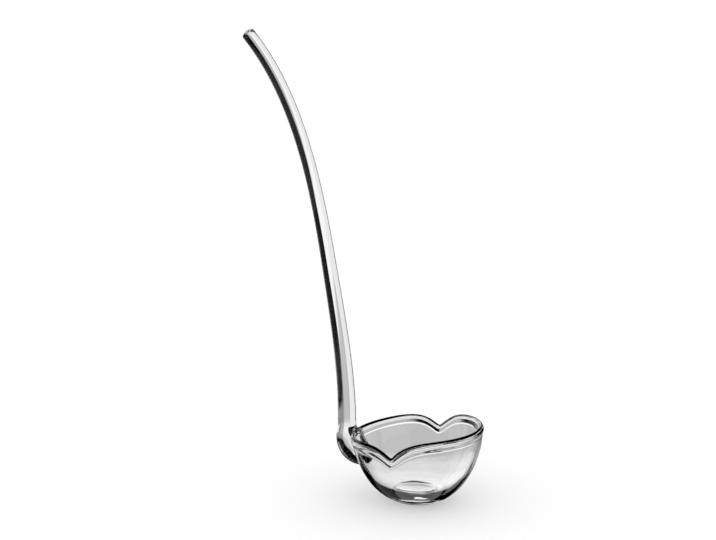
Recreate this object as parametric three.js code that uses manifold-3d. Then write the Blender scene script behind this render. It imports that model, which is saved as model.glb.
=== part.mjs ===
// Clear glass punch ladle: a blown bowl with two pouring lips, and a solid drawn rod fused to its side.
// Millimetres, +Z up. The origin is the centre of the flat ground under the bowl.
// The handle stands on the -X side in the XZ plane, and the lips face +Y and -Y.
import * as THREE from 'three';
import { mergeVertices } from 'three/addons/utils/BufferGeometryUtils.js';
import Module from 'manifold-3d';

const wasm = await Module();
wasm.setup();

// The bowl's rim line runs along the middle of the wall
const bowl = {
  rimHalfLength: 45.9, // along X, towards and away from the handle
  rimHalfWidth: 41.2, // along Y, from lip to lip
  rimHeight: 49.7, // mean height above the ground flat
  rimTilt: 5.6, // added opposite the handle and taken off beside it
  rimSag: 0.66, // taken off at both ends of the length
  wallAtRim: 2.3,
  baseThickness: 5.6,
  groundDepth: 2.6, // glass ground off the round bottom to leave the flat
  beadRadius: 1.9, // the melted round rim, a little fatter than the wall under it
  beadReach: 2.4, // depth over which the bead runs out into the wall
  edgeTallFront: 2.3, // the edge over the bead, against a half round, at the lip that faces -Y
  edgeTallBack: 1.2, // at the lip that faces +Y
};

// Both pouring lips are pressed down into the rim and a little outwards
const lip = {
  depth: 10.2,
  halfAngle: 0.242, // radians of the rim to each side
  rounding: 0.014, // radians to each side in which the V's bottom is rounded
  flare: 1.1,
  flareReach: 9, // depth over which the flare runs out
};

// The handle's foot bends round a point just inside the bowl's wall
const foot = {
  outerRadius: 19, // from the bend's centre to the outside of the rod
  innerRadius: 0.8, // the pinched inside of the bend
  centreInWall: 3.1, // the bend's centre lies this deep behind the wall's outer face
  centreBelowRim: 5.2,
  halfWidthLow: 9, // where the foot is squeezed against the wall
  halfWidthHigh: 7.6, // at the level section
  turn: 118, // degrees from the level section down and round into the wall
  rimClearHeight: 6.6, // the rod is round again this far above the rim
  rimClearance: 0.5, // between the round rod and the rim beside it
  pinchShare: 0.75, // share of the rise in which the foot draws back from the rim
};

// The rod rises beside the rim, leans back and sweeps to the tip
const rod = {
  footRadius: 6.6,
  tipRadius: 4.8,
  taperLength: 190,
  kneeRise: 115.4, // from the round foot to the knee, where the lean begins to grow
  kneeBack: 14.4,
  kneeLean: 10, // degrees from the vertical
  tipRise: 271.4, // from the round foot to the tip
  tipBack: 76.5,
  tipLean: 43, // degrees from the vertical
  domeLength: 2.8, // the melted end's roundness
};

const sealGap = 0.3; // between the foot's seat and the bowl's wall

// Shape exponents of the bowl's meridian, lips and edge, of the wall's growth and of the sections
const sideFullness = 2.5;
const bottomFullness = 1.64;
const lipSharpness = 1.4;
const edgeFullness = 1.5;
const wallGrowth = 5.5;
const rodTaperPower = 1.5;
const roundSection = 2;
const squeezedSection = 3;

// Facets
const rimColumns = 96;
const lipCrowding = 0.25; // 0 spaces the columns evenly, and 0.5 would gather them all at the lips
const outerRows = 11;
const beadRows = 6;
const innerRows = 12;
const rodSides = 20;
const footRows = 10;
const riseRows = 4;
const rodRows = 13; // in each of the rod's two arcs
const domeRows = 4;

const halfTurn = Math.PI;
const quarterTurn = Math.PI / 2;
const slopeStep = 0.01; // radians between the two rim heights that give the rim's slope
const mergeDistance = 1e-4;

// Closed body through rings with the same number of points, closed by a point at each end.
// A ring runs anticlockwise seen from the side that the next ring lies on.
function loft(startPoint, rings, endPoint) {
  const sides = rings[0].length;
  const points = [startPoint, ...rings.flat(), endPoint];
  const last = points.length - 1;
  const index = [];
  for (let side = 0; side < sides; side++) {
    const next = (side + 1) % sides;
    index.push(0, 1 + next, 1 + side);
    for (let row = 0; row < rings.length - 1; row++) {
      const low = 1 + row * sides;
      const high = low + sides;
      index.push(low + side, low + next, high + next);
      index.push(low + side, high + next, high + side);
    }
    index.push(last, last - sides + side, last - sides + next);
  }
  const geometry = new THREE.BufferGeometry();
  geometry.setAttribute('position', new THREE.Float32BufferAttribute(points.flatMap((p) => p.toArray()), 3));
  geometry.setIndex(index);
  return mergeVertices(geometry, mergeDistance);
}

function toSolid(geometry) {
  const vertProperties = new Float32Array(geometry.attributes.position.array);
  const triVerts = new Uint32Array(geometry.index.array);
  return new wasm.Manifold(new wasm.Mesh({ numProp: 3, vertProperties, triVerts }));
}

function toGeometry(solid) {
  const { vertProperties, triVerts } = solid.getMesh();
  const geometry = new THREE.BufferGeometry();
  geometry.setAttribute('position', new THREE.Float32BufferAttribute(vertProperties, 3));
  geometry.setIndex(new THREE.Uint32BufferAttribute(triVerts, 1));
  return geometry;
}

// Angles round the rim, drawn closer together at the two lips
function columnAngles() {
  const angles = [];
  for (let column = 0; column < rimColumns; column++) {
    const even = (column / rimColumns) * 2 * halfTurn;
    angles.push(even + lipCrowding * Math.sin(2 * even));
  }
  return angles;
}

// 1 at the middle of a lip, falling to 0 beside it
function lipShape(angle) {
  const aside = Math.asin(Math.cos(angle));
  const fromLip = Math.hypot(aside, lip.rounding) - lip.rounding;
  return Math.exp(-((fromLip / lip.halfAngle) ** lipSharpness));
}

function rimHeight(angle) {
  const plain = bowl.rimHeight + bowl.rimTilt * Math.cos(angle) - bowl.rimSag * Math.cos(2 * angle);
  return plain - lip.depth * lipShape(angle);
}

// Height of the rim's edge against its half width, from a tall worn edge in front to a round one behind
function edgeTallness(angle) {
  return THREE.MathUtils.lerp(bowl.edgeTallBack, bowl.edgeTallFront, (1 - Math.sin(angle)) / 2);
}

// Where the wall ends and the edge begins, so that the edge's top is where a half round's would be
function wallEnd(angle) {
  return rimHeight(angle) - (edgeTallness(angle) - 1) * bowl.beadRadius;
}

// Distance of the rim line from the middle, before the lips are pressed out
function rimReach(angle) {
  const mean = (bowl.rimHalfLength + bowl.rimHalfWidth) / 2;
  const stretch = (bowl.rimHalfLength - bowl.rimHalfWidth) / 2;
  return mean + stretch * Math.cos(2 * angle);
}

// Turn down the meridian, 0 at the mean rim height and a quarter turn at the middle, that reaches a height
function meridianTurn(height) {
  const fallen = (bowl.rimHeight - height) / (bowl.rimHeight + bowl.groundDepth);
  return Math.sign(fallen) * Math.asin(Math.abs(fallen) ** (bottomFullness / 2));
}

// Point [reach, height] of the bowl's wall on one meridian, inset from the outer face along its normal
function wallPoint(angle, turn, inset) {
  const depth = bowl.rimHeight + bowl.groundDepth;
  const radius = rimReach(angle) + bowl.wallAtRim / 2;
  const bend = Math.max(turn, 0);
  const across = Math.cos(bend) ** (2 / sideFullness);
  const fallen = Math.sin(bend) ** (2 / bottomFullness);
  const normal = new THREE.Vector2(
    (sideFullness / radius) * across ** (sideFullness - 1),
    -(bottomFullness / depth) * fallen ** (bottomFullness - 1),
  ).normalize();
  const rise = Math.sin(Math.max(-turn, 0)) ** (2 / bottomFullness);
  const height = bowl.rimHeight + depth * (rise - fallen);
  const belowRim = rimHeight(angle) - height;
  const flare = lip.flare * lipShape(angle) * Math.exp(-((belowRim / lip.flareReach) ** 2));
  const belowEdge = wallEnd(angle) - height;
  const fatter = (bowl.beadRadius - bowl.wallAtRim / 2) * Math.exp(-((belowEdge / bowl.beadReach) ** 2));
  const growth = bowl.baseThickness + bowl.groundDepth - bowl.wallAtRim;
  const wall = bowl.wallAtRim + growth * fallen ** wallGrowth;
  const shift = inset * (wall + 2 * fatter) - fatter;
  return [radius * across + flare - shift * normal.x, height - shift * normal.y];
}

function around(angle, [reach, height]) {
  return new THREE.Vector3(reach * Math.cos(angle), reach * Math.sin(angle), height);
}

// Rounded edge over the wall's end, taller where the rim slopes so that the bead keeps its thickness
function beadPoint(angle, share, grow) {
  const turn = meridianTurn(wallEnd(angle));
  const outer = new THREE.Vector2(...wallPoint(angle, turn, 0));
  const inner = new THREE.Vector2(...wallPoint(angle, turn, 1));
  const middle = outer.clone().add(inner).multiplyScalar(0.5);
  const across = outer.clone().sub(middle);
  const climb = rimHeight(angle + slopeStep) - rimHeight(angle - slopeStep);
  const slope = climb / (2 * slopeStep * middle.x);
  const size = 1 + grow / bowl.beadRadius;
  const bend = share * halfTurn;
  const aside = Math.sign(Math.cos(bend)) * Math.abs(Math.cos(bend)) ** (2 / edgeFullness) * size;
  const roundRise = Math.sin(bend) ** (2 / edgeFullness) * edgeTallness(angle);
  const rise = roundRise * Math.hypot(1, slope) * size;
  return [
    middle.x + across.x * aside - across.y * rise,
    middle.y + across.y * aside + across.x * rise,
  ];
}

function rowTurn(angle, row, rows, endTurn) {
  const rimTurn = meridianTurn(wallEnd(angle));
  return THREE.MathUtils.lerp(rimTurn, endTurn, row / rows);
}

// Rings up the outside of the bowl and over its rim, grown outwards by a small distance
function outsideRings(grow) {
  const angles = columnAngles();
  const rings = [];
  for (let row = outerRows; row >= 0; row--) {
    rings.push(angles.map((angle) => {
      const turn = rowTurn(angle, row, outerRows, meridianTurn(0));
      const face = new THREE.Vector2(...wallPoint(angle, turn, 0));
      const behind = new THREE.Vector2(...wallPoint(angle, turn, 1));
      const outward = face.clone().sub(behind).setLength(grow);
      return around(angle, [face.x + outward.x, face.y + outward.y]);
    }));
  }
  for (let row = 1; row <= beadRows; row++) {
    const share = row / (beadRows + 1);
    rings.push(angles.map((angle) => around(angle, beadPoint(angle, share, grow))));
  }
  return rings;
}

function insideRings() {
  const angles = columnAngles();
  const rings = [];
  for (let row = 0; row < innerRows; row++) {
    rings.push(angles.map((angle) => {
      const turn = rowTurn(angle, row, innerRows, quarterTurn);
      return around(angle, wallPoint(angle, turn, 1));
    }));
  }
  return rings;
}

function bowlShell() {
  const rings = [...outsideRings(0), ...insideRings()];
  const groundCentre = new THREE.Vector3(0, 0, 0);
  const insideBottom = new THREE.Vector3(0, 0, bowl.baseThickness);
  return loft(groundCentre, rings, insideBottom);
}

// The bowl filled to its rim and grown by the seal's gap, which cuts the handle's seat
function seatCutter() {
  const underside = new THREE.Vector3(0, 0, -sealGap);
  const fillCentre = new THREE.Vector3(0, 0, bowl.rimHeight);
  return loft(underside, outsideRings(sealGap), fillCentre);
}

// Section of the handle between an inside and an outside point of the XZ plane.
// fullness 2 gives an ellipse, and more fills out its corners.
function section(inside, outside, halfWidth, fullness) {
  const middle = inside.clone().add(outside).multiplyScalar(0.5);
  const across = outside.clone().sub(middle);
  const ring = [];
  for (let side = 0; side < rodSides; side++) {
    const turn = (side / rodSides) * 2 * halfTurn;
    const along = Math.sign(Math.cos(turn)) * Math.abs(Math.cos(turn)) ** (2 / fullness);
    const aside = Math.sign(Math.sin(turn)) * Math.abs(Math.sin(turn)) ** (2 / fullness);
    const place = middle.clone().addScaledVector(across, along);
    ring.push(new THREE.Vector3(place.x, -halfWidth * aside, place.y));
  }
  return ring;
}

// Places of the handle that follow from the bowl, as x and z in the handle's plane: the centre that the
// foot bends round, and the middle of the rod where it is round and clear of the rim
function handlePlaces() {
  const rimTop = rimHeight(halfTurn);
  const bendHeight = rimTop - foot.centreBelowRim;
  const [wallReach] = wallPoint(halfTurn, meridianTurn(bendHeight), 0);
  const [rimOutside] = wallPoint(halfTurn, meridianTurn(rimTop), 0);
  const bend = new THREE.Vector2(foot.centreInWall - wallReach, bendHeight);
  const roundX = -rimOutside - foot.rimClearance - rod.footRadius;
  const round = new THREE.Vector2(roundX, rimTop + foot.rimClearHeight);
  return { bend, round };
}

// From the buried end of the foot round the bend to the level section
function footRings(bend) {
  const rings = [];
  for (let row = 0; row <= footRows; row++) {
    const share = row / footRows;
    const turn = THREE.MathUtils.degToRad(foot.turn * (1 - share));
    const towards = new THREE.Vector2(-Math.cos(turn), -Math.sin(turn));
    const inside = bend.clone().addScaledVector(towards, foot.innerRadius);
    const outside = bend.clone().addScaledVector(towards, foot.outerRadius);
    const halfWidth = THREE.MathUtils.lerp(foot.halfWidthLow, foot.halfWidthHigh, share);
    rings.push(section(inside, outside, halfWidth, squeezedSection));
  }
  return rings;
}

// From the level section past the rim, where the squeezed foot becomes the round rod
function riseRings(bend, round) {
  const rings = [];
  for (let row = 1; row < riseRows; row++) {
    const share = row / riseRows;
    const eased = THREE.MathUtils.smoothstep(share, 0, foot.pinchShare);
    const height = THREE.MathUtils.lerp(bend.y, round.y, share);
    const insideX = THREE.MathUtils.lerp(bend.x - foot.innerRadius, round.x + rod.footRadius, eased);
    const outsideX = THREE.MathUtils.lerp(bend.x - foot.outerRadius, round.x - rod.footRadius, eased);
    const inside = new THREE.Vector2(insideX, height);
    const outside = new THREE.Vector2(outsideX, height);
    const halfWidth = THREE.MathUtils.lerp(foot.halfWidthHigh, rod.footRadius, share);
    const fullness = THREE.MathUtils.lerp(squeezedSection, roundSection, eased);
    rings.push(section(inside, outside, halfWidth, fullness));
  }
  return rings;
}

function leaning(degrees) {
  const lean = THREE.MathUtils.degToRad(degrees);
  return new THREE.Vector2(-Math.sin(lean), Math.cos(lean));
}

// Cubic arc between two points that leaves and arrives along the given directions
function arc(start, startWay, end, endWay) {
  const pull = start.distanceTo(end) / 3;
  const leave = start.clone().addScaledVector(startWay, pull);
  const arrive = end.clone().addScaledVector(endWay, -pull);
  return new THREE.CubicBezierCurve(start, leave, arrive, end);
}

function rodRings(round) {
  const knee = round.clone().add(new THREE.Vector2(-rod.kneeBack, rod.kneeRise));
  const tip = round.clone().add(new THREE.Vector2(-rod.tipBack, rod.tipRise));
  const arcs = [
    arc(round, leaning(0), knee, leaning(rod.kneeLean)),
    arc(knee, leaning(rod.kneeLean), tip, leaning(rod.tipLean)),
  ];
  const rings = [];
  let passed = 0;
  for (const curve of arcs) {
    const length = curve.getLength();
    for (let row = rings.length ? 1 : 0; row <= rodRows; row++) {
      const share = row / rodRows;
      const centre = curve.getPointAt(share);
      const way = curve.getTangentAt(share);
      const left = Math.max(1 - (passed + length * share) / rod.taperLength, 0);
      const radius = rod.tipRadius + (rod.footRadius - rod.tipRadius) * left ** rodTaperPower;
      rings.push(rodSection(centre, way, radius));
    }
    passed += length;
  }
  return { rings, tip };
}

function rodSection(centre, way, radius) {
  const out = new THREE.Vector2(-way.y, way.x).multiplyScalar(radius);
  return section(centre.clone().sub(out), centre.clone().add(out), radius, roundSection);
}

function domeRings(tip) {
  const way = leaning(rod.tipLean);
  const rings = [];
  for (let row = 1; row < domeRows; row++) {
    const turn = (row / domeRows) * quarterTurn;
    const centre = tip.clone().addScaledVector(way, rod.domeLength * Math.sin(turn));
    rings.push(rodSection(centre, way, rod.tipRadius * Math.cos(turn)));
  }
  return rings;
}

function inPlane(point) {
  return new THREE.Vector3(point.x, 0, point.y);
}

function handleSolid() {
  const { bend, round } = handlePlaces();
  const footEnd = footRings(bend);
  const { rings, tip } = rodRings(round);
  const tipEnd = tip.clone().addScaledVector(leaning(rod.tipLean), rod.domeLength);
  const all = [...footEnd, ...riseRings(bend, round), ...rings, ...domeRings(tip)];
  const buried = footEnd[0].reduce((sum, point) => sum.add(point), new THREE.Vector3());
  buried.divideScalar(rodSides);
  const whole = toSolid(loft(buried, all, inPlane(tipEnd)));
  return toGeometry(whole.subtract(toSolid(seatCutter())));
}

function glass() {
  return new THREE.MeshStandardMaterial({
    color: 0xf2f5f4, roughness: 0.03, metalness: 0, transparent: true, opacity: 0.35,
  });
}

function piece(name, geometry) {
  const mesh = new THREE.Mesh(geometry, glass());
  mesh.name = name;
  return mesh;
}

const ladle = new THREE.Group();
ladle.add(piece('bowl', bowlShell()));
ladle.add(piece('handle', handleSolid()));

export default ladle;
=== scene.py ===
import math

import bpy
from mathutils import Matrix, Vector


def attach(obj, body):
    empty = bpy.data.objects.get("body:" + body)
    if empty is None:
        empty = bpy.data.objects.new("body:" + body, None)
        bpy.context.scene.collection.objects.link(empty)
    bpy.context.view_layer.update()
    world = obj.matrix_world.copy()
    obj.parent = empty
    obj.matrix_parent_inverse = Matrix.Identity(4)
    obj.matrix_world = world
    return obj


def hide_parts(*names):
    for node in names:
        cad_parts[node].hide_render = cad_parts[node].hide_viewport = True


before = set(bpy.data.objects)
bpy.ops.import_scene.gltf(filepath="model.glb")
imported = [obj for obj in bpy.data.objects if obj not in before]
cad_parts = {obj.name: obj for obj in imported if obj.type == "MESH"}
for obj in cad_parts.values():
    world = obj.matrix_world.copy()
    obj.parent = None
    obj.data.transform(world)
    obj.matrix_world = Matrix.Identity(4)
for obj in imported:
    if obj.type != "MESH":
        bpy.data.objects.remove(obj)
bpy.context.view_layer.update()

millimetre = 0.001
weldDistance = 0.002  # in millimetres
sharpAngle = math.radians(30)

# Sizes of the bowl, in millimetres. The rim line runs along the middle of the wall.
bowlSizes = {
    "rimHalfLength": 45.9,  # towards and away from the handle
    "rimHalfWidth": 41.2,  # from lip to lip
    "rimHeight": 49.7,
    "rimTilt": 5.6,  # higher opposite the handle and lower beside it
    "rimSag": 0.66,
    "wallAtRim": 2.3,
    "baseThickness": 5.6,
    "groundDepth": 2.6,  # taken off the round bottom to leave the flat
    "beadRadius": 1.9,  # the melted round rim, fatter than the wall
    "beadReach": 2.4,
    "edgeTallFront": 2.3,  # the edge over the bead, against a half round, on the side of the camera
    "edgeTallBack": 1.2,
    "edgeFullness": 1.5,
    "lipDepth": 10.2,
    "lipHalfAngle": 0.242,
    "lipRounding": 0.014,  # at the bottom of the V
    "lipFlare": 1.08,
    "lipFlareReach": 9.0,
    "lipSharpness": 1.4,
    "sideFullness": 2.5,
    "bottomFullness": 1.64,
    "wallGrowth": 5.5,
    "grow": 0.0,  # moves the whole outside out along its normal
    "columns": 384,
    "crowding": 0.25,  # gathers the columns towards the two lips
    "slopeStep": 0.01,
    "groundRows": 6,
    "outsideRows": 88,
    "edgeRows": 16,
    "insideRows": 90,
}

# Sizes of the handle, in millimetres, as x and z in its plane
handleSizes = {
    "bendX": -42.355,  # the point that the foot bends round
    "bendZ": 38.24,
    "footOuter": 19.0,
    "footInner": 0.8,
    "footHalfWidthLow": 9.0,
    "footHalfWidthHigh": 7.6,
    "footTurn": math.radians(118),
    "roundX": -54.307,  # the middle of the rod where it is round and clear of the rim
    "roundZ": 50.04,
    "roundLean": 0.0,
    "pinchShare": 0.75,
    "rodAtFoot": 6.6,
    "rodAtTip": 4.75,
    "taperLength": 190.0,
    "taperPower": 1.5,
    "kneeRise": 115.4,
    "kneeBack": 14.4,
    "kneeLean": math.radians(10.0),
    "tipRise": 271.4,
    "tipBack": 76.3,
    "tipLean": math.radians(43),
    "domeLength": 2.7,
    "roundSection": 2.0,
    "squeezedSection": 3.0,
    "sides": 64,
    "endRows": 4,
    "footRows": 48,
    "riseRows": 24,
    "rodRows": 90,
    "domeRows": 14,
}


# A number in a node tree. Sums and functions of it add Math nodes.
class Number:
    def __init__(self, tree, socket):
        self.tree = tree
        self.socket = socket

    def work(self, operation, *others):
        node = self.tree.nodes.new("ShaderNodeMath")
        node.operation = operation
        for place, value in enumerate((self, *others)):
            if isinstance(value, Number):
                self.tree.links.new(value.socket, node.inputs[place])
            else:
                node.inputs[place].default_value = value
        return Number(self.tree, node.outputs[0])

    def constant(self, value):
        node = self.tree.nodes.new("ShaderNodeValue")
        node.outputs[0].default_value = value
        return Number(self.tree, node.outputs[0])

    def __add__(self, other):
        return self.work("ADD", other)

    def __radd__(self, other):
        return self.work("ADD", other)

    def __sub__(self, other):
        return self.work("SUBTRACT", other)

    def __rsub__(self, other):
        return self.constant(other).work("SUBTRACT", self)

    def __mul__(self, other):
        return self.work("MULTIPLY", other)

    def __rmul__(self, other):
        return self.work("MULTIPLY", other)

    def __truediv__(self, other):
        return self.work("DIVIDE", other)

    def __rtruediv__(self, other):
        return self.constant(other).work("DIVIDE", self)

    def __pow__(self, other):
        return self.work("POWER", other)

    def __neg__(self):
        return self.work("MULTIPLY", -1.0)

    def sin(self):
        return self.work("SINE")

    def cos(self):
        return self.work("COSINE")

    def asin(self):
        return self.work("ARCSINE")

    def size(self):
        return self.work("ABSOLUTE")

    def sign(self):
        return self.work("SIGN")

    def root(self):
        return self.work("SQRT")

    def exp(self):
        return self.work("EXPONENT")

    def least(self, other):
        return self.work("MINIMUM", other)

    def most(self, other):
        return self.work("MAXIMUM", other)


def between(start, end, share):
    return start + (end - start) * share


def bell(distance, reach):
    return (-((distance / reach) ** 2.0)).exp()


# Geometry tree with a named input for each size
def sizedTree(name, sizes):
    tree = bpy.data.node_groups.new(name, "GeometryNodeTree")
    tree.interface.new_socket("Geometry", in_out="OUTPUT", socket_type="NodeSocketGeometry")
    for label, value in sizes.items():
        kind = "NodeSocketInt" if isinstance(value, int) else "NodeSocketFloat"
        tree.interface.new_socket(label, in_out="INPUT", socket_type=kind)
    inputs = tree.nodes.new("NodeGroupInput")
    numbers = {label: Number(tree, inputs.outputs[label]) for label in sizes}
    return tree, numbers


# One closed strip of a surface: place() turns the share around and the share along into x, y and z
def strip(tree, around, along, place):
    grid = tree.nodes.new("GeometryNodeMeshGrid")
    grid.inputs["Size X"].default_value = 1.0
    grid.inputs["Size Y"].default_value = 1.0
    tree.links.new((around + 1.0).socket, grid.inputs["Vertices X"])
    tree.links.new((along + 1.0).socket, grid.inputs["Vertices Y"])
    split = tree.nodes.new("ShaderNodeSeparateXYZ")
    tree.links.new(grid.outputs["UV Map"], split.inputs[0])
    x, y, z = place(Number(tree, split.outputs["X"]), Number(tree, split.outputs["Y"]))
    join = tree.nodes.new("ShaderNodeCombineXYZ")
    for axis, value in zip("XYZ", (x, y, z)):
        tree.links.new(value.socket, join.inputs[axis])
    move = tree.nodes.new("GeometryNodeSetPosition")
    tree.links.new(grid.outputs["Mesh"], move.inputs["Geometry"])
    tree.links.new(join.outputs[0], move.inputs["Position"])
    return move.outputs["Geometry"]


# Joins the strips into one closed skin and turns millimetres into metres
def finishTree(tree, strips, material):
    join = tree.nodes.new("GeometryNodeJoinGeometry")
    for piece in strips:
        tree.links.new(piece, join.inputs[0])
    weld = tree.nodes.new("GeometryNodeMergeByDistance")
    weld.inputs["Distance"].default_value = weldDistance
    scale = tree.nodes.new("GeometryNodeTransform")
    scale.inputs["Scale"].default_value = (millimetre,) * 3
    realize = tree.nodes.new("GeometryNodeRealizeInstances")
    paint = tree.nodes.new("GeometryNodeSetMaterial")
    paint.inputs["Material"].default_value = material
    output = tree.nodes.new("NodeGroupOutput")
    last = join
    for node in (weld, scale, realize, paint, output):
        tree.links.new(last.outputs[0], node.inputs[0])
        last = node


# The bowl's rules

def lipShape(b, angle):
    aside = angle.cos().asin()
    fromLip = (aside * aside + b["lipRounding"] * b["lipRounding"]).root() - b["lipRounding"]
    return (-((fromLip / b["lipHalfAngle"]) ** b["lipSharpness"])).exp()


def rimHeight(b, angle):
    plain = b["rimHeight"] + b["rimTilt"] * angle.cos() - b["rimSag"] * (angle * 2.0).cos()
    return plain - b["lipDepth"] * lipShape(b, angle)


# Height of the rim's edge against its half width
def edgeTallness(b, angle):
    return between(b["edgeTallBack"], b["edgeTallFront"], (1.0 - angle.sin()) / 2.0)


# Where the wall ends and the edge begins
def wallEnd(b, angle):
    return rimHeight(b, angle) - (edgeTallness(b, angle) - 1.0) * b["beadRadius"]


def meridianTurn(b, height):
    fallen = (b["rimHeight"] - height) / (b["rimHeight"] + b["groundDepth"])
    return fallen.sign() * (fallen.size() ** (b["bottomFullness"] / 2.0)).asin()


def wallPoint(b, angle, turn, inset):
    depth = b["rimHeight"] + b["groundDepth"]
    mean = (b["rimHalfLength"] + b["rimHalfWidth"]) / 2.0
    stretch = (b["rimHalfLength"] - b["rimHalfWidth"]) / 2.0
    radius = mean + stretch * (angle * 2.0).cos() + b["wallAtRim"] / 2.0
    bend = turn.most(0.0)
    across = bend.cos().most(0.0) ** (2.0 / b["sideFullness"])
    fallen = bend.sin() ** (2.0 / b["bottomFullness"])
    outward = b["sideFullness"] / radius * across ** (b["sideFullness"] - 1.0)
    upward = -(b["bottomFullness"] / depth * fallen ** (b["bottomFullness"] - 1.0))
    length = (outward * outward + upward * upward).root()
    rise = (-turn).most(0.0).sin() ** (2.0 / b["bottomFullness"])
    height = b["rimHeight"] + depth * (rise - fallen)
    belowRim = rimHeight(b, angle) - height
    flare = b["lipFlare"] * lipShape(b, angle) * bell(belowRim, b["lipFlareReach"])
    belowEdge = wallEnd(b, angle) - height
    fatter = (b["beadRadius"] - b["wallAtRim"] / 2.0) * bell(belowEdge, b["beadReach"])
    growth = b["baseThickness"] + b["groundDepth"] - b["wallAtRim"]
    wall = b["wallAtRim"] + growth * fallen ** b["wallGrowth"]
    shift = (wall + fatter * 2.0) * inset - fatter - b["grow"] * (1.0 - inset)
    return radius * across + flare - shift * outward / length, height - shift * upward / length


def ringPoint(angle, reach, height):
    return reach * angle.cos(), reach * angle.sin(), height


# Angle round the rim, with more columns at the two lips
def columnAngle(b, share):
    even = share * (2.0 * math.pi)
    return even + (even * 2.0).sin() * b["crowding"]


def bowlGround(b):
    def place(around, along):
        angle = columnAngle(b, around)
        reach, height = wallPoint(b, angle, meridianTurn(b, 0.0), 0.0)
        return ringPoint(angle, reach * along, height)
    return place


def bowlOutside(b):
    def place(around, along):
        angle = columnAngle(b, around)
        groundTurn = meridianTurn(b, 0.0)
        rimTurn = meridianTurn(b, wallEnd(b, angle))
        return ringPoint(angle, *wallPoint(b, angle, between(groundTurn, rimTurn, along), 0.0))
    return place


def bowlEdge(b):
    def place(around, along):
        angle = columnAngle(b, around)
        turn = meridianTurn(b, wallEnd(b, angle))
        outerReach, outerHeight = wallPoint(b, angle, turn, 0.0)
        innerReach, innerHeight = wallPoint(b, angle, turn, 1.0)
        middleReach = (outerReach + innerReach) / 2.0
        middleHeight = (outerHeight + innerHeight) / 2.0
        acrossReach = outerReach - middleReach
        acrossHeight = outerHeight - middleHeight
        step = b["slopeStep"]
        climb = rimHeight(b, angle + step) - rimHeight(b, angle - step)
        slope = climb / middleReach / (step * 2.0)
        bend = along * math.pi
        power = 2.0 / b["edgeFullness"]
        aside = bend.cos().sign() * bend.cos().size() ** power
        rise = bend.sin().most(0.0) ** power * edgeTallness(b, angle) * (slope * slope + 1.0).root()
        reach = middleReach + acrossReach * aside - acrossHeight * rise
        height = middleHeight + acrossHeight * aside + acrossReach * rise
        return ringPoint(angle, reach, height)
    return place


def bowlInside(b):
    def place(around, along):
        angle = columnAngle(b, around)
        rimTurn = meridianTurn(b, wallEnd(b, angle))
        return ringPoint(angle, *wallPoint(b, angle, between(rimTurn, math.pi / 2, along), 1.0))
    return place


def bowlTree(material):
    tree, b = sizedTree("bowl shape", bowlSizes)
    strips = [
        strip(tree, b["columns"], b["groundRows"], bowlGround(b)),
        strip(tree, b["columns"], b["outsideRows"], bowlOutside(b)),
        strip(tree, b["columns"], b["edgeRows"], bowlEdge(b)),
        strip(tree, b["columns"], b["insideRows"], bowlInside(b)),
    ]
    finishTree(tree, strips, material)
    return tree


# The bowl's outside closed by a lid at the rim, which cuts the seat of the handle
def bowlLid(b):
    def place(around, along):
        angle = columnAngle(b, around)
        turn = meridianTurn(b, wallEnd(b, angle))
        reach, height = wallPoint(b, angle, turn, 0.0)
        return ringPoint(angle, reach * (1.0 - along), between(height, b["rimHeight"], along))
    return place


def seatTree(material):
    tree, b = sizedTree("seat cutter shape", bowlSizes)
    strips = [
        strip(tree, b["columns"], b["groundRows"], bowlGround(b)),
        strip(tree, b["columns"], b["outsideRows"], bowlOutside(b)),
        strip(tree, b["columns"], b["groundRows"], bowlLid(b)),
    ]
    finishTree(tree, strips, material)
    return tree


# The handle's rules

def roundedSection(around, insideX, insideZ, outsideX, outsideZ, halfWidth, fullness):
    turn = around * (2.0 * math.pi)
    along = turn.cos().sign() * turn.cos().size() ** (2.0 / fullness)
    aside = turn.sin().sign() * turn.sin().size() ** (2.0 / fullness)
    x = (insideX + outsideX) / 2.0 + along * (outsideX - insideX) / 2.0
    z = (insideZ + outsideZ) / 2.0 + along * (outsideZ - insideZ) / 2.0
    return x, -(halfWidth * aside), z


def handleFoot(h):
    def place(around, along):
        turn = h["footTurn"] * (1.0 - along)
        halfWidth = between(h["footHalfWidthLow"], h["footHalfWidthHigh"], along)
        return roundedSection(
            around,
            h["bendX"] - turn.cos() * h["footInner"], h["bendZ"] - turn.sin() * h["footInner"],
            h["bendX"] - turn.cos() * h["footOuter"], h["bendZ"] - turn.sin() * h["footOuter"],
            halfWidth, h["squeezedSection"],
        )
    return place


# Closes the buried end of the foot
def handleEnd(h):
    foot = handleFoot(h)

    def place(around, along):
        x, y, z = foot(around, 0.0)
        reach = (h["footInner"] + h["footOuter"]) / 2.0
        middleX = h["bendX"] - h["footTurn"].cos() * reach
        middleZ = h["bendZ"] - h["footTurn"].sin() * reach
        return between(middleX, x, along), y * along, between(middleZ, z, along)
    return place


def handleRise(h):
    def place(around, along):
        pinch = (along / h["pinchShare"]).least(1.0)
        eased = pinch * pinch * (3.0 - pinch * 2.0)
        height = between(h["bendZ"], h["roundZ"], along)
        inside = between(h["bendX"] - h["footInner"], h["roundX"] + h["rodAtFoot"], eased)
        outside = between(h["bendX"] - h["footOuter"], h["roundX"] - h["rodAtFoot"], eased)
        halfWidth = between(h["footHalfWidthHigh"], h["rodAtFoot"], along)
        fullness = between(h["squeezedSection"], h["roundSection"], eased)
        return roundedSection(around, inside, height, outside, height, halfWidth, fullness)
    return place


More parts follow.
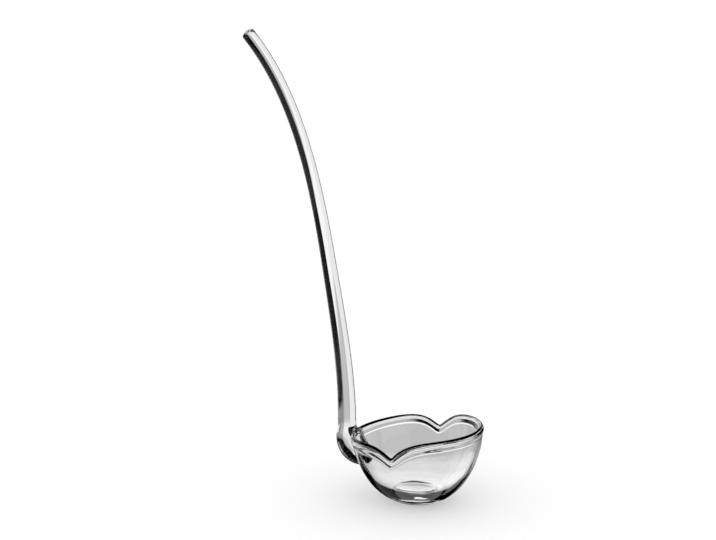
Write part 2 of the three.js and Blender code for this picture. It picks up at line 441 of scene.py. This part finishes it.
# Cubic arc that leaves and arrives along two leans from the vertical
def leaningArc(start, startLean, end, endLean, share):
    backward, upward = end[0] - start[0], end[1] - start[1]
    distance = (backward * backward + upward * upward).root()
    pull = distance / 3.0
    leave = (start[0] - startLean.sin() * pull, start[1] + startLean.cos() * pull)
    arrive = (end[0] + endLean.sin() * pull, end[1] - endLean.cos() * pull)
    rest = 1.0 - share
    place, way = [], []
    for axis in range(2):
        a, b, c, d = start[axis], leave[axis], arrive[axis], end[axis]
        place.append(rest ** 3.0 * a + rest * rest * share * b * 3.0 + rest * share * share * c * 3.0
                     + share ** 3.0 * d)
        way.append(rest * rest * (b - a) + rest * share * (c - b) * 2.0 + share * share * (d - c))
    length = (way[0] * way[0] + way[1] * way[1]).root()
    return place, (way[0] / length, way[1] / length), distance


def rodSection(h, around, middle, way, radius):
    outX, outZ = -(way[1] * radius), way[0] * radius
    return roundedSection(
        around, middle[0] - outX, middle[1] - outZ, middle[0] + outX, middle[1] + outZ,
        radius, h["roundSection"],
    )


def rodRadius(h, passed):
    left = (1.0 - passed / h["taperLength"]).most(0.0)
    return h["rodAtTip"] + (h["rodAtFoot"] - h["rodAtTip"]) * left ** h["taperPower"]


def handleLower(h):
    start = (h["roundX"], h["roundZ"])
    knee = (h["roundX"] - h["kneeBack"], h["roundZ"] + h["kneeRise"])

    def place(around, along):
        middle, way, distance = leaningArc(start, h["roundLean"], knee, h["kneeLean"], along)
        return rodSection(h, around, middle, way, rodRadius(h, distance * along))
    return place


def handleUpper(h):
    knee = (h["roundX"] - h["kneeBack"], h["roundZ"] + h["kneeRise"])
    tip = (h["roundX"] - h["tipBack"], h["roundZ"] + h["tipRise"])

    def place(around, along):
        passed = (h["kneeBack"] * h["kneeBack"] + h["kneeRise"] * h["kneeRise"]).root()
        middle, way, distance = leaningArc(knee, h["kneeLean"], tip, h["tipLean"], along)
        return rodSection(h, around, middle, way, rodRadius(h, passed + distance * along))
    return place


def handleDome(h):
    def place(around, along):
        turn = along * (math.pi / 2)
        way = (-h["tipLean"].sin(), h["tipLean"].cos())
        rise = h["domeLength"] * turn.sin()
        middle = (h["roundX"] - h["tipBack"] + way[0] * rise, h["roundZ"] + h["tipRise"] + way[1] * rise)
        return rodSection(h, around, middle, way, h["rodAtTip"] * turn.cos().most(0.0))
    return place


def handleTree(material):
    tree, h = sizedTree("handle shape", handleSizes)
    strips = [
        strip(tree, h["sides"], h["endRows"], handleEnd(h)),
        strip(tree, h["sides"], h["footRows"], handleFoot(h)),
        strip(tree, h["sides"], h["riseRows"], handleRise(h)),
        strip(tree, h["sides"], h["rodRows"], handleLower(h)),
        strip(tree, h["sides"], h["rodRows"], handleUpper(h)),
        strip(tree, h["sides"], h["domeRows"], handleDome(h)),
    ]
    finishTree(tree, strips, material)
    return tree


# Object shaped by a tree, with the tree's inputs set before it is first evaluated
def shapedObject(name, tree, sizes):
    obj = bpy.data.objects.new(name, bpy.data.meshes.new(name))
    bpy.context.scene.collection.objects.link(obj)
    modifier = obj.modifiers.new("shape", "NODES")
    modifier.node_group = tree
    for socket in tree.interface.items_tree:
        if socket.in_out == "INPUT":
            modifier[socket.identifier] = sizes[socket.name]
    return obj


# Turns the modifiers' result into a plain mesh with hard edges where faces meet sharply
def settle(obj):
    evaluated = obj.evaluated_get(bpy.context.evaluated_depsgraph_get())
    mesh = bpy.data.meshes.new_from_object(evaluated)
    obj.modifiers.clear()
    obj.data = mesh
    mesh.name = obj.name
    for face in mesh.polygons:
        face.use_smooth = True
    mesh.set_sharp_from_angle(angle=sharpAngle)
    print(obj.name, len(mesh.vertices), "points", len(mesh.polygons), "faces")
    return obj


# Object coordinates in millimetres
def placeInGlass(tree):
    coordinates = tree.nodes.new("ShaderNodeTexCoord")
    split = tree.nodes.new("ShaderNodeSeparateXYZ")
    tree.links.new(coordinates.outputs["Object"], split.inputs[0])
    return [Number(tree, split.outputs[axis]) / millimetre for axis in "XYZ"]


# Noise of a feature size in millimetres, read at x, y and z
def noiseAt(tree, x, y, z, feature, detail):
    join = tree.nodes.new("ShaderNodeCombineXYZ")
    for socket, value in zip(join.inputs, (x, y, z)):
        tree.links.new(value.socket, socket)
    noise = tree.nodes.new("ShaderNodeTexNoise")
    noise.inputs["Scale"].default_value = 1.0 / feature
    noise.inputs["Detail"].default_value = detail
    tree.links.new(join.outputs[0], noise.inputs["Vector"])
    return Number(tree, noise.outputs["Fac"])


def step(value, low, high):
    node = value.tree.nodes.new("ShaderNodeMapRange")
    node.interpolation_type = "SMOOTHSTEP"
    value.tree.links.new(value.socket, node.inputs["Value"])
    node.inputs["From Min"].default_value = low
    node.inputs["From Max"].default_value = high
    return Number(value.tree, node.outputs[0])


# Clear glass whose surface is a height in millimetres, dulled where wear is 1
def clearGlass(name, look, surface, wear):
    material = bpy.data.materials.new(name)
    material.use_nodes = True
    tree = material.node_tree
    shader = tree.nodes["Principled BSDF"]
    shader.inputs["Base Color"].default_value = (*look["colour"], 1)
    shader.inputs["IOR"].default_value = look["bending"]
    shader.inputs["Transmission Weight"].default_value = 1
    x, y, z = placeInGlass(tree)
    bump = tree.nodes.new("ShaderNodeBump")
    bump.inputs["Distance"].default_value = millimetre
    tree.links.new(surface(tree, look, x, y, z).socket, bump.inputs["Height"])
    tree.links.new(bump.outputs["Normal"], shader.inputs["Normal"])
    roughness = wear(tree, look, x, y, z) * look["wornRoughness"]
    tree.links.new(roughness.socket, shader.inputs["Roughness"])
    return material


# Looks of the bowl's glass: heights and feature sizes in millimetres
bowlLook = {
    "colour": (1, 1, 1),
    "bending": 1.51,
    "wave": 14.0,  # the slow waves of glass worked by hand
    "waveHeight": 0.10,
    "ring": 2.6,  # faint rings from turning the hot bowl
    "ringHeight": 0.010,
    "wornRoughness": 0.3,
    "wornBelow": 0.6,
    "wornRing": 15.0,  # inside of the matt ring that the bowl is put down on
    "wornRingSoft": 1.0,
    "wearFeature": 0.8,
    "leastWear": 0.7,
    "wearRange": 0.6,
}


def bowlSurface(tree, look, x, y, z):
    reach = (x * x + y * y).root()
    wave = noiseAt(tree, x, y, z, look["wave"], 1.0)
    ring = noiseAt(tree, reach, z, x / look["wave"], look["ring"], 0.0)
    return wave * look["waveHeight"] + ring * look["ringHeight"]


def bowlWear(tree, look, x, y, z):
    grain = look["leastWear"] + noiseAt(tree, x, y, z, look["wearFeature"], 3.0) * look["wearRange"]
    reach = (x * x + y * y).root()
    ring = step(reach, look["wornRing"] - look["wornRingSoft"], look["wornRing"] + look["wornRingSoft"])
    return (1.0 - step(z, 0.0, look["wornBelow"])) * ring * grain


# Looks of the handle's glass: heights and feature sizes in millimetres
handleLook = {
    "colour": (1, 1, 1),
    "bending": 1.51,
    "wave": 16.0,
    "waveHeight": 0.10,
    "streak": 1.8,  # streaks drawn out along the rod
    "streakStretch": 30.0,
    "streakHeight": 0.012,
    "curve": 1.95,  # how the rod curves back from its foot to its tip
    "wornRoughness": 0.03,
    "wornAbove": 240.0,  # where it is held
    "wearFeature": 1.5,
    "scuffFrom": 0.5,  # noise at which a scuff begins, and where it is full
    "scuffFull": 0.65,
}


def handleSurface(tree, look, x, y, z):
    risen = ((z - handleSizes["roundZ"]) / handleSizes["tipRise"]).most(0.0)
    fromMiddle = x - handleSizes["roundX"] + risen ** look["curve"] * handleSizes["tipBack"]
    wave = noiseAt(tree, x, y, z, look["wave"], 1.0)
    streak = noiseAt(tree, fromMiddle, y, z / look["streakStretch"], look["streak"], 1.0)
    return wave * look["waveHeight"] + streak * look["streakHeight"]


def handleWear(tree, look, x, y, z):
    noise = noiseAt(tree, x, y, z, look["wearFeature"], 3.0)
    scuff = step(noise, look["scuffFrom"], look["scuffFull"])
    return step(z, look["wornAbove"], handleSizes["roundZ"] + handleSizes["tipRise"]) * scuff


bowlGlass = clearGlass("bowlGlass", bowlLook, bowlSurface, bowlWear)
handleGlass = clearGlass("handleGlass", handleLook, handleSurface, handleWear)

bowl = settle(shapedObject("ladleBowl", bowlTree(bowlGlass), bowlSizes))
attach(bowl, "root")
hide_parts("bowl")
print("bowl made")

sealOverlap = 0.15
cutter = shapedObject("seatCutter", seatTree(bowlGlass), {**bowlSizes, "grow": -sealOverlap})
handle = shapedObject("ladleHandle", handleTree(handleGlass), handleSizes)
cut = handle.modifiers.new("seat", "BOOLEAN")
cut.operation = "DIFFERENCE"
cut.object = cutter
settle(handle)
bpy.data.objects.remove(cutter)
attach(handle, "root")
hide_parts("handle")
print("handle made")

# Floor. The world lights it at a plain level of 1.
floorLook = {
    "colour": (0.6, 0.6, 0.6),
    "glow": 0.42,  # brings the open floor up to white and leaves the shadow
    "halfWidth": 6.0,
    "drop": 0.0005,
}


def makeFloor(look):
    mesh = bpy.data.meshes.new("floor")
    half = look["halfWidth"]
    square = ((-half, -half), (half, -half), (half, half), (-half, half))
    mesh.from_pydata([(x, y, -look["drop"]) for x, y in square], [], [(0, 1, 2, 3)])
    obj = bpy.data.objects.new("floor", mesh)
    bpy.context.scene.collection.objects.link(obj)
    material = bpy.data.materials.new("paleFloor")
    material.use_nodes = True
    shader = material.node_tree.nodes["Principled BSDF"]
    shader.inputs["Base Color"].default_value = (*look["colour"], 1)
    shader.inputs["Roughness"].default_value = 1.0
    shader.inputs["Specular IOR Level"].default_value = 0.0
    shader.inputs["Emission Color"].default_value = (1, 1, 1, 1)
    shader.inputs["Emission Strength"].default_value = look["glow"]
    mesh.materials.append(material)
    obj.visible_transmission = False
    obj.visible_glossy = False


makeFloor(floorLook)

# The white sheets, cards and dark gaps that the glass sees round it. Each is painted over the ones before.
# side is in degrees from straight behind, to the right as the camera sees it, and rise is above level.
# Seen through the glass, the half of the room on the camera's side is the same but dimmer, so that the
# ladle is clear from behind too. The two seenThrough panels close the gap between the halves.
studioPanels = {
    "room": {"side": (-180, 180), "rise": (-90, 90), "soft": (1, 1), "glow": 0.0},
    "wallTop": {"side": (-60, 0), "rise": (2, 40), "soft": (5, 4), "glow": 1.0},
    "wall": {"side": (-60, 2), "rise": (-10, 2), "soft": (5, 4), "glow": 0.5},
    "wallFoot": {"side": (-40, 9), "rise": (-16, -9), "soft": (2, 2), "glow": 1.0},
    "tableRight": {"side": (10, 130), "rise": (-30, -17.2), "soft": (6, 1.5), "glow": 0.28},
    "tableFarLeft": {"side": (-60, -14), "rise": (-26, -14), "soft": (3, 3), "glow": 0.9},
    "tableFar": {"side": (-14, 14), "rise": (-22, -15.2), "soft": (9, 2.5), "glow": 0.55},
    "tableMiddle": {"side": (-14, 14), "rise": (-27, -21), "soft": (3, 3), "glow": 0.83},
    "tableNear": {"side": (-9, 13), "rise": (-32, -26), "soft": (2, 2), "glow": 0.94},
    "tableEdge": {"side": (-9, 10), "rise": (-37, -31), "soft": (2, 2), "glow": 1.0},
    "tableUnder": {"side": (-14, 9), "rise": (-52, -43), "soft": (2, 2), "glow": 0.9},
    "rightTable": {"side": (45, 120), "rise": (-60, -28), "soft": (4, 4), "glow": 1.0},
    "rightNear": {"side": (14, 30), "rise": (-37, -22), "soft": (4, 4), "glow": 0.46},
    "leftLow": {"side": (-90, -14), "rise": (-62, -43), "soft": (4, 4), "glow": 0.25},
    "sideLeft": {"side": (-100, -72), "rise": (-64, 60), "soft": (6, 10), "glow": 0.6, "seenThrough": True},
    "sideRight": {"side": (72, 100), "rise": (-64, 60), "soft": (6, 10), "glow": 0.6, "seenThrough": True},
    "nearFloor": {"side": (-180, 180), "rise": (-90, -64), "soft": (4, 4), "glow": 1.0},
}

dimmerBehind = 0.6  # of the room on the camera's side

# The camera's place in millimetres, and its angles in degrees
cameraLook = {
    "place": (488.517, -1095.990, 441.488),
    "down": 12.96,
    "turn": 25.98,
    "lens": 90,
    "sensor": 36,
}


# 1 between the limits and 0 beyond, with soft edges. A limit at the end of the range has no edge.
def within(value, limits, soft, whole):
    inside = None
    if limits[0] > -whole:
        inside = step(value, limits[0] - soft / 2, limits[0] + soft / 2)
    if limits[1] < whole:
        below = 1.0 - step(value, limits[1] - soft / 2, limits[1] + soft / 2)
        inside = below if inside is None else inside * below
    return inside


# Side and rise of the direction that is looked in, in degrees, and 1 where it is on the camera's side.
# Where folded is 1, what lies on the camera's side has the side of what lies opposite.
def lookDirection(tree, folded):
    coordinates = tree.nodes.new("ShaderNodeTexCoord")
    turn = tree.nodes.new("ShaderNodeVectorRotate")
    turn.rotation_type = "Z_AXIS"
    turn.inputs["Angle"].default_value = -math.radians(cameraLook["turn"])
    tree.links.new(coordinates.outputs["Generated"], turn.inputs["Vector"])
    split = tree.nodes.new("ShaderNodeSeparateXYZ")
    tree.links.new(turn.outputs[0], split.inputs[0])
    right, away, up = [Number(tree, split.outputs[axis]) for axis in "XYZ"]
    degrees = 180.0 / math.pi
    side = between(right.work("ARCTAN2", away), (right / away).work("ARCTANGENT"), folded)
    return side * degrees, up.asin() * degrees, away.work("LESS_THAN", 0.0)


# White for the camera and for what lights the floor, and the studio for light that meets the glass
def makeWorld(panels):
    world = bpy.data.worlds.new("studio")
    bpy.context.scene.world = world
    world.use_nodes = True
    tree = world.node_tree
    path = tree.nodes.new("ShaderNodeLightPath")
    glossy = Number(tree, path.outputs["Is Glossy Ray"])
    through = Number(tree, path.outputs["Is Transmission Ray"])
    side, rise, behind = lookDirection(tree, through)
    studio = side.constant(0.0)
    for panel in panels.values():
        across = within(side, panel["side"], panel["soft"][0], 180)
        upward = within(rise, panel["rise"], panel["soft"][1], 90)
        cover = side.constant(1.0)
        for mask in (across, upward, through if "seenThrough" in panel else None):
            if mask is not None:
                cover = cover * mask
        studio = between(studio, panel["glow"], cover)
    studio = studio * between(1.0, dimmerBehind, behind * through)
    strength = between(1.0, studio, glossy.most(through))
    background = tree.nodes["Background"]
    background.inputs["Color"].default_value = (1, 1, 1, 1)
    tree.links.new(strength.socket, background.inputs["Strength"])


makeWorld(studioPanels)
print("floor and studio made")

# Camera
cameraData = bpy.data.cameras.new("camera")
cameraData.lens = cameraLook["lens"]
cameraData.sensor_width = cameraLook["sensor"]
camera = bpy.data.objects.new("camera", cameraData)
bpy.context.scene.collection.objects.link(camera)
camera.location = Vector(cameraLook["place"]) * millimetre
camera.rotation_euler = (math.radians(90 - cameraLook["down"]), 0, math.radians(cameraLook["turn"]))
bpy.context.scene.camera = camera

bpy.context.scene.view_settings.view_transform = "Standard"
